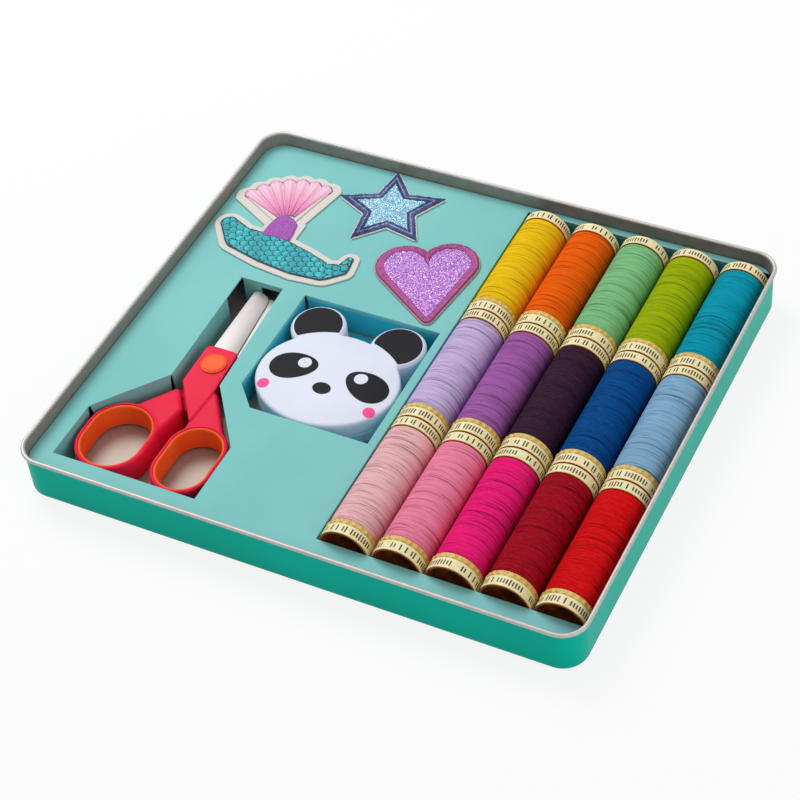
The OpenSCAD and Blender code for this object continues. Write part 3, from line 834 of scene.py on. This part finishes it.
def wind(piece, seed):
    """Lays the strands: a helix whose pitch wanders, and deeper grooves where strands cross."""
    dice = np.random.default_rng(seed)
    co = points_of(piece)
    x, y, z = (co / MM).T
    radius = np.hypot(x, y)
    turn = np.arctan2(y, x) / (2 * np.pi)
    outer = radius > THREAD_R - 1
    drift = np.zeros(len(z))
    for _ in range(6):
        wave = dice.uniform(4, 16)
        drift += dice.uniform(0.15, 0.5) * np.sin(
            2 * np.pi * (z / wave + dice.integers(-2, 3) * turn) + dice.uniform(0, 6.3))
    strand = np.abs(np.cos(np.pi * (z / PITCH - turn + drift))) ** 0.5
    second = np.abs(np.cos(np.pi * (z / CROSS_PITCH + turn + 0.8 * drift + 0.3))) ** 0.4
    height = STRAND_DEPTH * (strand - 1) + CROSS_DEPTH * (second - 1)
    for _ in range(STRAY_TURNS):
        at = dice.uniform(THREAD_FROM + 0.5, THREAD_TO - 0.5)
        slope, bow = dice.normal(0.8, 3.0), dice.normal(0, 8)
        arc = dice.uniform(0.05, 0.26)
        wide, deep = dice.uniform(0.1, 0.18), dice.uniform(0.04, 0.2)
        along = (turn - dice.uniform() + 0.5) % 1 - 0.5
        off = z - at - slope * along - bow * along ** 2
        height -= deep * np.exp(-(off / wide) ** 2 - (along / arc) ** 2)
    stations = [THREAD_FROM, THREAD_FROM + 0.4, THREAD_FROM + 1.4, THREAD_FROM + 5,
                THREAD_TO - 5, THREAD_TO - 1.2, THREAD_TO - 0.3, THREAD_TO]
    shoulder = np.interp(z, stations, [0.8, 0.35, 0.12, 0, 0, 0.1, 0.25, 0.6])
    wound = THREAD_R - shoulder + height
    scale = np.where(outer, wound / np.maximum(radius, 0.1), 1)
    co[:, 0] *= scale
    co[:, 1] *= scale
    move_points(piece, co)
    # Groove depth, which the yarn finish reads to paint shade into the grooves
    stamp(piece, "depth", np.clip(1 + height / 0.26, 0, 1).astype(np.float32))
    return piece


def spool_master():
    """One whole spool without its thread, standing at the origin."""
    core = spool_core()
    ends = ((0.12, BAND_FRONT - 0.05), (SPOOL_LEN - BAND_BACK + 0.1, SPOOL_LEN - 0.12))
    front, back = (label_band(*end) for end in ends)
    for band, end in zip((front, back), ends):
        wrap_uv(band, *end)
    wrap_uv(core, 0, SPOOL_LEN)
    flange = scalloped_flange()
    wrap_uv(flange, 0, SPOOL_LEN)
    label = band_label()
    gold = spool_plastic("gold_plastic", "#D9A441", "#C79F40", "#E4C570", 0.5, 0.3)
    amber = spool_plastic("amber_plastic", "#9A4A0C", "#7C3606", "#B05F14", 0.4, 0.35)
    for piece, finish in ((core, gold), (front, label), (back, label), (flange, gold)):
        paint(piece, finish)
    core.data.materials.append(amber)
    mark_faces(core, 1, lambda c, n: math.hypot(c.x, c.y) < (BAND_R - 0.05) * MM)
    return joined(core, front, back, flange)


def make_spools():
    """Fifteen copies of one spool, each turned its own way and wound with its own thread."""
    master = spool_master()
    blank = thread_blank()
    tilt = Matrix.Rotation(-math.pi / 2, 4, "X")
    for i, (colour, code) in enumerate(THREADS):
        number = f"{i + 1:02d}"
        low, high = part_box("spool_" + number)
        place = Matrix.Translation(((low.x + high.x) / 2, low.y, (low.z + high.z) / 2)) @ tilt
        roll = Matrix.Rotation(math.radians(37 * i), 4, "Z")
        reel = copied(master, "reel_core_" + number, place @ roll)
        carry(reel, "reel_" + number, "spool_end", "spool_" + number)
        thread = wind(copied(blank, "reel_thread_" + number), 100 + i)
        thread.data.transform(place)
        smooth(paint(thread, yarn(colour, code)), 180)
        carry(thread, "reel_" + number, "thread_" + colour, "thread_" + number)
    bpy.data.objects.remove(master)
    bpy.data.objects.remove(blank)


# Scissors

def make_scissors():
    """Two halves, each a blade, a handle and its soft liner, and the cap over their pivot."""
    red = hard_plastic("handle_red", "#EC1A42", "#F4264C", 0.45, 0.55, gloss=0.12)
    orange = soft_rubber()
    steel = brushed_steel()
    for half, body in (("lower", "scissors_lower"), ("upper", "scissors_upper")):
        handle = moulded("handle_" + half, "scissor_handle_" + half, 0.42, 8)
        carry(paint(handle, red), body, "handle_plastic", "handle_" + half)
        grip = moulded("grip_" + half, "scissor_liner_" + half, 0.3, 6)
        carry(paint(grip, orange), body, "grip_rubber", "grip_" + half)
        blade = from_node("blade_" + half, "scissor_blade_" + half)
        modified(blade, "BEVEL", width=0.12 * MM, segments=2, limit_method="ANGLE",
                 angle_limit=math.radians(25))
        carry(paint(smooth(blade, 30), steel), body, "blade_steel", "blade_" + half)
    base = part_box("pivot_cap")[0].z / MM
    cap = turned("scissor_cap", [
        (0, base), (CAP_R - 0.1, base), (CAP_R, base + 0.15), (CAP_R - 0.1, base + 0.42),
        (CAP_R - 0.45, base + 0.55), (CAP_R - 0.55, base + 0.35), (CAP_R - 0.8, base + 0.35),
        (CAP_R - 0.9, base + 0.6), (CAP_R - 1.6, base + 0.74), (CAP_R - 3, base + CAP_T),
        (0, base + CAP_T)], segments=72)
    cap.data.transform(Matrix.Translation((PIVOT[0] * MM, PIVOT[1] * MM, 0)))
    paint(cap, hard_plastic("cap_orange", "#FA5A20", "#FF6C2E", 0.42, 0.52, gloss=0.15))
    carry(cap, "scissors_lower", "cap_plastic", "pivot_cap")
    paint_node("pivot_screw", plain_metal("rivet_steel", "#A9A6A2", "#C4C1BD"))


def paint_node(node, finish):
    """A CAD node that stays gets its finish."""
    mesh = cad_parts[node].data
    if not mesh.materials:
        mesh.materials.append(finish)
    for i in range(len(mesh.materials)):
        mesh.materials[i] = finish


# Panda tape measure

def on_head(x, y):
    """A place measured from the middle of the face."""
    return HEAD_AT[0] + x, HEAD_AT[1] + y


def egg(x, y, long, wide, tilt, side=1, blunt=0.0):
    """An oval or egg, its blunt end outwards, measured from the middle of the face."""
    count = 72
    points = []
    for i in range(count):
        t = 2 * math.pi * i / count
        u, v = long * math.cos(t), wide * math.sin(t) * (1 + blunt * math.cos(t))
        a = math.radians(tilt)
        u, v = u * math.cos(a) - v * math.sin(a), u * math.sin(a) + v * math.cos(a)
        points.append(on_head(x + side * u, y + v))
    return points[::side]


def ear_inlay(x, y):
    """The part of an ear's inner disc that the head leaves free."""
    r, a, b = EAR_R - EAR_RIM, HEAD_A + 0.5, HEAD_B + 0.5
    count = 120
    disc = [(x + r * math.cos(t), y + r * math.sin(t))
            for t in np.linspace(0, 2 * math.pi, count, endpoint=False)]
    free = [(u / a) ** 2 + (v / b) ** 2 > 1 for u, v in disc]
    start = next(i for i in range(count) if free[i] and not free[i - 1])
    arc = [disc[(start + i) % count] for i in range(count) if free[(start + i) % count]]
    oval = [(a * math.cos(t), b * math.sin(t)) for t in np.linspace(0, math.pi, 2 * count)]
    inside = [p for p in oval if math.dist(p, (x, y)) < r]
    if math.dist(inside[0], arc[-1]) > math.dist(inside[-1], arc[-1]):
        inside.reverse()
    return [on_head(u, v) for u, v in arc + inside]


def print_on(face, name, points, finish, lift=0.02, thick=0.12, follow=True):
    """A printed mark, dropped on the face under it, or flat on the case's top."""
    mark = outline(name, points, CASE_TOP + PRINT_DROP)
    edit(mark)
    if follow:
        for axis in range(2):
            low, high = min(p[axis] for p in points), max(p[axis] for p in points)
            for cut in np.arange(low + 0.7, high - 0.3, PRINT_STEP):
                bpy.ops.mesh.select_all(action="SELECT")
                spot, way = [0, 0, 0], [0, 0, 0]
                spot[axis], way[axis] = cut * MM, 1
                bpy.ops.mesh.bisect(plane_co=spot, plane_no=way)
    done(mark)
    if follow:
        modified(mark, "SHRINKWRAP", target=face, wrap_method="PROJECT", use_project_z=True,
                 use_negative_direction=True, use_positive_direction=False)
    else:
        move_points(mark, points_of(mark) - (0, 0, PRINT_DROP * MM))
    modified(mark, "SOLIDIFY", thickness=(thick + lift) * MM, offset=1)
    return smooth(paint(mark, finish), 40)


def make_panda():
    """The tape measure's case with its printed face, and the finishes of what it holds."""
    white = hard_plastic("case_white", "#DFE4F5", "#E5E9F8", 0.4, 0.5, gloss=0.2)
    black = hard_plastic("print_black", "#17171C", "#1F1F25", 0.45, 0.55, gloss=0.08)
    pink = hard_plastic("print_pink", "#FF4F94", "#FF5C9E", 0.45, 0.55, gloss=0.15)
    front = paint(moulded("case_front", "panda_front", 0.36, 5), white)
    back = paint(moulded("case_back", "panda_back", 0.42, 6), white)
    carry(front, "tape_case", "case_white", "case_front")
    carry(back, "tape_case", "case_white", "case_back")
    marks, gleams = [], []
    for side in (-1, 1):
        eye_x = FACE_X + side * EYE_OUT
        marks.append(print_on(front, "eye", egg(eye_x, EYE_UP, 8.9, 6.3, -20, side, blunt=0.16), black))
        gleam = egg(eye_x - side * 3.3, EYE_UP + 2.4, 2.5, 2.5, 0)
        gleams.append(print_on(front, "gleam", gleam, white, lift=0.12, thick=0.1))
    marks.append(print_on(front, "nose", egg(0.8, -5.7, 3.4, 2.7, 0), black))
    marks += [print_on(front, "ear_inlay", ear_inlay(x, y), black, follow=False) for x, y in EARS]
    marks = joined(*marks, *gleams)
    marks.name = marks.data.name = "panda_markings"
    carry(marks, "tape_case", "marking_black", "face_markings")
    spots = [print_on(front, "cheek", egg(x, y, 2.2, 2.2, 0), pink) for x, y in CHEEKS]
    spots = joined(*spots)
    spots.name = spots.data.name = "panda_cheeks"
    carry(spots, "tape_case", "cheek_pink", "cheeks")
    paint_node("tape_drum", hard_plastic("drum_plastic", "#D2D2D2", "#DDDDDD", 0.4, 0.5))
    paint_node("tape_roll", felt("tape_roll_cloth", "#EDEADC", "#F6F4EA"))
    paint_node("return_spring", plain_metal("spring_steel", "#85858A", "#9A9AA0"))
    paint_node("tape_strip", felt("tape_cloth", "#EFECDF", "#F8F6EC"))
    paint_node("release_button", hard_plastic("button_plastic", "#2C2C33", "#38383F", 0.45, 0.6, gloss=0.15))


# Patches

def at(place, points):
    """Points moved to a patch's place."""
    return [(place[0] + x, place[1] + y) for x, y in points]


def turned_by(points, degrees):
    c, s = math.cos(math.radians(degrees)), math.sin(math.radians(degrees))
    return [(c * x - s * y, s * x + c * y) for x, y in points]


def star_corners(tip, notch, inset):
    """The star's ten corners, its sides drawn in by inset."""
    side = math.hypot(tip * math.cos(math.radians(36)) - notch, tip * math.sin(math.radians(36)))
    reach = tip * notch * math.sin(math.radians(36)) / side
    share = (reach - inset) / reach
    corners = []
    for k in range(10):
        radius = (tip if k % 2 == 0 else notch) * share
        angle = math.radians(STAR_TURN + 90 + 36 * k)
        corners.append((radius * math.cos(angle), radius * math.sin(angle)))
    return corners


def along(corners, count=None):
    """Points along a closed path of corners: count on each side, or else about 1 mm apart."""
    points = []
    for a, b in zip(corners, corners[1:] + corners[:1]):
        n = count or max(2, round(math.dist(a, b)))
        points += [(a[0] + (b[0] - a[0]) * i / n, a[1] + (b[1] - a[1]) * i / n) for i in range(n)]
    return points


def heart_half(grow, count):
    """The heart's right side from its cleft to its tip, grown by grow."""
    lobe, r = HEART_LOBE, HEART_LOBE_R + grow
    tip, tip_r = HEART_TIP, max(0.1, HEART_TIP_R + grow)
    gap = math.dist(lobe, tip)
    lean = math.atan2(tip[1] - lobe[1], tip[0] - lobe[0])
    swing = math.acos((r - tip_r) / gap)
    leave = lean + swing
    start = math.acos(max(-1.0, min(1.0, -lobe[0] / r)))
    arc_r = [(lobe[0] + r * math.cos(t), lobe[1] + r * math.sin(t))
             for t in np.linspace(start, leave, 60)]
    arc_t = [(tip[0] + tip_r * math.cos(t), tip[1] + tip_r * math.sin(t))
             for t in np.linspace(leave, -math.pi / 2, 12)]
    path = np.array(arc_r + arc_t)
    run = np.r_[0, np.cumsum(np.hypot(*np.diff(path, axis=0).T))]
    where = np.linspace(0, run[-1], count)
    return list(zip(np.interp(where, run, path[:, 0]), np.interp(where, run, path[:, 1])))


def heart_path(grow, count=HEART_STITCHES):
    """The whole outline, turned as the patch lies."""
    right = heart_half(grow, count)
    left = [(-x, y) for x, y in right[::-1]]
    return turned_by(right + left[1:-1], HEART_TURN)


def satin_ring(name, outer, inner, low, high, seed):
    """A border of satin stitches laid from the outer path to the inner one."""
    dice = np.random.default_rng(seed)
    outer, inner = np.array(outer), np.array(inner)
    count = len(outer)
    section = [(0.0, 0.0), (0.0, 0.45), (0.06, 0.8), (0.2, 1.0), (0.36, 0.92), (0.46, 0.72), (0.5, 0.86),
               (0.54, 0.72), (0.64, 0.92), (0.8, 1.0), (0.94, 0.8), (1.0, 0.45), (1.0, 0.0)]
    deselect()
    bpy.ops.mesh.primitive_grid_add(x_subdivisions=count, y_subdivisions=len(section), size=MM)
    ring = named(name)
    across = np.array([s for s, _ in section] + [0.0])
    rise = np.array([h for _, h in section] + [0.0])
    wobble = dice.uniform(-0.5, 0.5, count)
    stitch = np.where(np.arange(count) % 2 == 0, 1.0, 0.0) * dice.uniform(0.6, 1.0, count)
    co, depth = [], []
    for j in range(len(section) + 1):
        for i in range(count + 1):
            k = i % count
            edge = 0.3 * wobble[k] if 0 < j < len(section) else 0
            share = across[j] + edge * (1 if across[j] < 0.5 else -1) * (rise[j] > 0) * 0.4
            x, y = outer[k] + (inner[k] - outer[k]) * share
            up = rise[j] * (high - low) * (0.68 + 0.32 * stitch[k]) if rise[j] else 0
            co.append((x * MM, y * MM, (low + up) * MM))
            # Stitch height, which the satin finish reads to paint shade on the lower stitches and the
            # border's foot
            depth.append(stitch[k] if rise[j] else 0.0)
    move_points(ring, co)
    stamp(ring, "depth", depth)
    mesh = ring.data
    layer = mesh.uv_layers[0] if mesh.uv_layers else mesh.uv_layers.new(name="across")
    width = count + 1
    for face in mesh.polygons:
        for corner in face.loop_indices:
            vertex = mesh.loops[corner].vertex_index
            layer.data[corner].uv = ((vertex % width) / count, across[min(vertex // width, len(section) - 1)])
    return smooth(closed(ring), 70)


def glitter_field(name, points, low, high, seed):
    """Flakes strewn over a plate: a fine mesh whose top is roughened."""
    field = remeshed(plate(name, points, low, high), 0.36)
    co = points_of(field)
    top = co[:, 2] > (high - 0.2) * MM
    dice = np.random.default_rng(seed)
    co[top] += dice.uniform(-0.11, 0.11, (int(top.sum()), 3)) * MM
    move_points(field, co)
    only(field)
    bpy.ops.object.shade_flat()
    return field


def felt_back(node, name, finish, seed):
    """The felt under a patch, its cut edge a little uneven."""
    piece = moulded(node, name, 0.3, 2)
    co = points_of(piece)
    dice = np.random.default_rng(seed)
    co[:, :2] += dice.uniform(-0.05, 0.05, (len(co), 2)) * MM
    move_points(piece, co)
    return paint(piece, finish)


def lay_patch(kind, rim, ring, field):
    """A patch's three layers ride together."""
    carry(rim, kind + "_patch", "felt", kind + "_backing")
    carry(ring, kind + "_patch", kind + "_satin", kind + "_border")
    carry(field, kind + "_patch", kind + "_glitter", kind + "_field")


def make_star():
    low = PATCH_Z + FELT_T
    rim = felt_back("star_backing", "star_felt", felt("white_felt", "#D5D1CA", "#EDE9E2"), 1)

    def star(inset):
        return star_corners(STAR_TIP, STAR_NOTCH, inset)

    outer, inner = (at(STAR_AT, along(star(inset), count=STAR_STITCHES)) for inset in (0.05, SATIN_W))
    ring = satin_ring("star_stitching", outer, inner, low, low + SATIN_T, 2)
    paint(ring, satin("star_satin", "#9BA3D0", (0.0, "#525E94"), (0.4, "#5C689C"), (0.45, "#BDC0EC"),
                      (0.56, "#BDC0EC"), (0.61, "#5C689C"), (1.0, "#556297")))
    field = glitter_field("star_glitter", at(STAR_AT, along(star(SATIN_W - 0.2))), low, low + FIELD_T, 3)
    paint(field, glitter("blue_glitter", "#2F6E90", "#7FB6D0", "#A9D6E6", "#6CA5C4", "#DDF2F8"))
    lay_patch("star", rim, ring, field)


def make_heart():
    low = PATCH_Z + FELT_T
    rim = felt_back("heart_backing", "heart_felt", felt("pink_felt", "#B98A9C", "#D9B3C2"), 4)
    outer, inner = (at(HEART_AT, heart_path(grow)) for grow in (0, -SATIN_W))
    ring = satin_ring("heart_stitching", outer, inner, low, low + SATIN_T, 5)
    paint(ring, satin("heart_satin", "#E59CD0", (0.0, "#A04E78"), (0.2, "#B05788"), (0.26, "#CE62AC"),
                      (0.5, "#D468B2"), (0.55, "#A84890"), (0.6, "#D468B4"), (0.88, "#C65CA8"),
                      (0.95, "#8A3478")))
    path = heart_path(0.2 - SATIN_W, 90)
    field = glitter_field("heart_glitter", at(HEART_AT, path), low, low + FIELD_T, 6)
    paint(field, glitter("pink_glitter", "#8A3E9E", "#8A78CC", "#C45CB4", "#B894DC", "#EBBCE6"))
    lay_patch("heart", rim, ring, field)


def relief(name, columns, rows, shape):
    """A sheet whose points come from shape(u, v), which gives x, y, z in millimetres and a tone."""
    deselect()
    bpy.ops.mesh.primitive_grid_add(x_subdivisions=columns, y_subdivisions=rows, size=MM)
    piece = named(name)
    co, tones = [], []
    for j in range(rows + 1):
        for i in range(columns + 1):
            x, y, z, tone = shape(i / columns, j / rows)
            co.append((x * MM, y * MM, z * MM))
            tones.append(tone)
    move_points(piece, co)
    stamp(piece, "tone", tones)
    closed(piece)
    if sum(face.normal.z * face.area for face in piece.data.polygons) < 0:
        edit(piece)
        bpy.ops.mesh.flip_normals()
        done(piece)
    return smooth(modified(piece, "SOLIDIFY", thickness=0.3 * MM, offset=-1), 60)


def shell_fan(low):
    """The scallop shell: a fan of ribs, dark at its outline and in the grooves."""
    length = FAN_REACH - FAN_HINGE

    def fan(u, v):
        angle = math.radians(FAN_TURN - FAN_HALF + 2 * FAN_HALF * u)
        rib = abs(math.sin(math.pi * RIBS * u))
        radius = FAN_HINGE + (FAN_REACH + 1.6 * rib - FAN_HINGE) * v
        edge = min(v, 1 - v) * length
        side = rib * radius * math.radians(2 * FAN_HALF / RIBS) / 2
        tone = min(edge, side) * 0.22 + 0.5 * v
        streak = 0.12 * math.sin(math.pi * RIBS * u * 6) * (0.3 + v)
        z = low + 0.35 + 0.5 * rib ** 0.7 * min(1, edge / 0.8)
        return (SHELL_AT[0] + radius * math.cos(angle), SHELL_AT[1] + radius * math.sin(angle), z,
                0.0 if edge < 0.55 or side < 0.3 else max(0.2, min(1, tone + streak)))

    return paint(relief("shell_fan", 168, 60, fan), printed("shell_pink", "#3A2A46", "#F06AB0", "#FBD3E6"))


def shell_wave(low):
    """The wave that carries the shell, covered with overlapping scales."""
    stations = np.array(WAVE, float)
    run = np.r_[0, np.cumsum(np.hypot(*np.diff(stations[:, :2], axis=0).T))]
    first, last = stations[0, 2], stations[-1, 2]
    total = run[-1] + first + last

    def middle(s):
        return [np.interp(s, run, stations[:, k]) for k in range(3)]

    def sea(u, v):
        s = u * total - first
        inside = min(max(s, 0), run[-1])
        x, y, r = middle(inside)
        before, after = middle(inside - 1.5), middle(inside + 1.5)
        dx, dy = after[0] - before[0], after[1] - before[1]
        norm = math.hypot(dx, dy)
        dx, dy = dx / norm, dy / norm
        past = s - inside
        wide = math.sqrt(max(0, r * r - past * past))
        across = (2 * v - 1) * wide
        row = (s + 50) / SCALE_ROW
        cell = (across + 30) / SCALE_WIDE + 0.5 * (math.floor(row) % 2)
        du, dv = (cell % 1) - 0.5, (row % 1)
        ring = math.hypot(du, (1 - dv) * 0.75)
        edge = min(wide - abs(across), s + first, run[-1] + last - s)
        if edge < 0.6 or abs(ring - 0.5) < 0.07:
            tone = 0.0
        else:
            tone = 0.3 + 0.7 * dv * (0.6 + 0.4 * math.sin(7 * math.floor(cell) + math.floor(row)))
        z = low + 0.3 + 0.28 * min(1, max(0, edge) / 1.2) + (0.12 if ring < 0.5 else 0.0)
        return (SHELL_AT[0] + x + dx * past - dy * across, SHELL_AT[1] + y + dy * past + dx * across, z, tone)

    return paint(relief("shell_wave", 300, 64, sea), printed("sea_teal", "#103844", "#0097A6", "#35D3D8"))


def shell_band(low):
    """The hinge of the shell."""
    corners = [(-6, -8.6), (5.6, -8.6), (5.2, -4), (4.2, 1.2), (1.4, 3.4), (-2.6, 4.6), (-5, 1.6), (-5.8, -3)]
    band = plate("shell_band", at(SHELL_AT, corners), low, low + 0.9, ease=0.35)
    stamp(band, "tone", [0.8] * len(band.data.vertices))
    return paint(band, printed("shell_purple", "#3A2A46", "#8E3FA0", "#A64FB4"))


def make_shell():
    """A scallop shell standing on a wave."""
    low = PATCH_Z + FELT_T
    fans, waves, band = shell_fan(low), shell_wave(low), shell_band(low)
    white = bpy.data.materials["white_felt"]
    rim = felt_back("shell_backing", "shell_felt", white, 7)
    ground = paint(moulded("shell_field", "shell_ground", 0.4, 2), white)
    carry(rim, "shell_patch", "felt", "shell_backing")
    carry(ground, "shell_patch", "felt", "shell_field")
    carry(fans, "shell_patch", "shell_satin", "shell_border")
    carry(waves, "shell_patch", "shell_cloth")
    carry(band, "shell_patch", "shell_satin")


add_camera()
add_floor()
add_world()
add_light("key", (-0.6, 0.4, 0.9), 0.7, 8.5)
add_light("fill", (1.0, -0.35, 0.5), 0.9, 3.2)
bpy.context.scene.view_settings.view_transform = "Standard"

make_tin()
make_card()
make_spools()
make_scissors()
make_panda()
make_star()
make_heart()
make_shell()
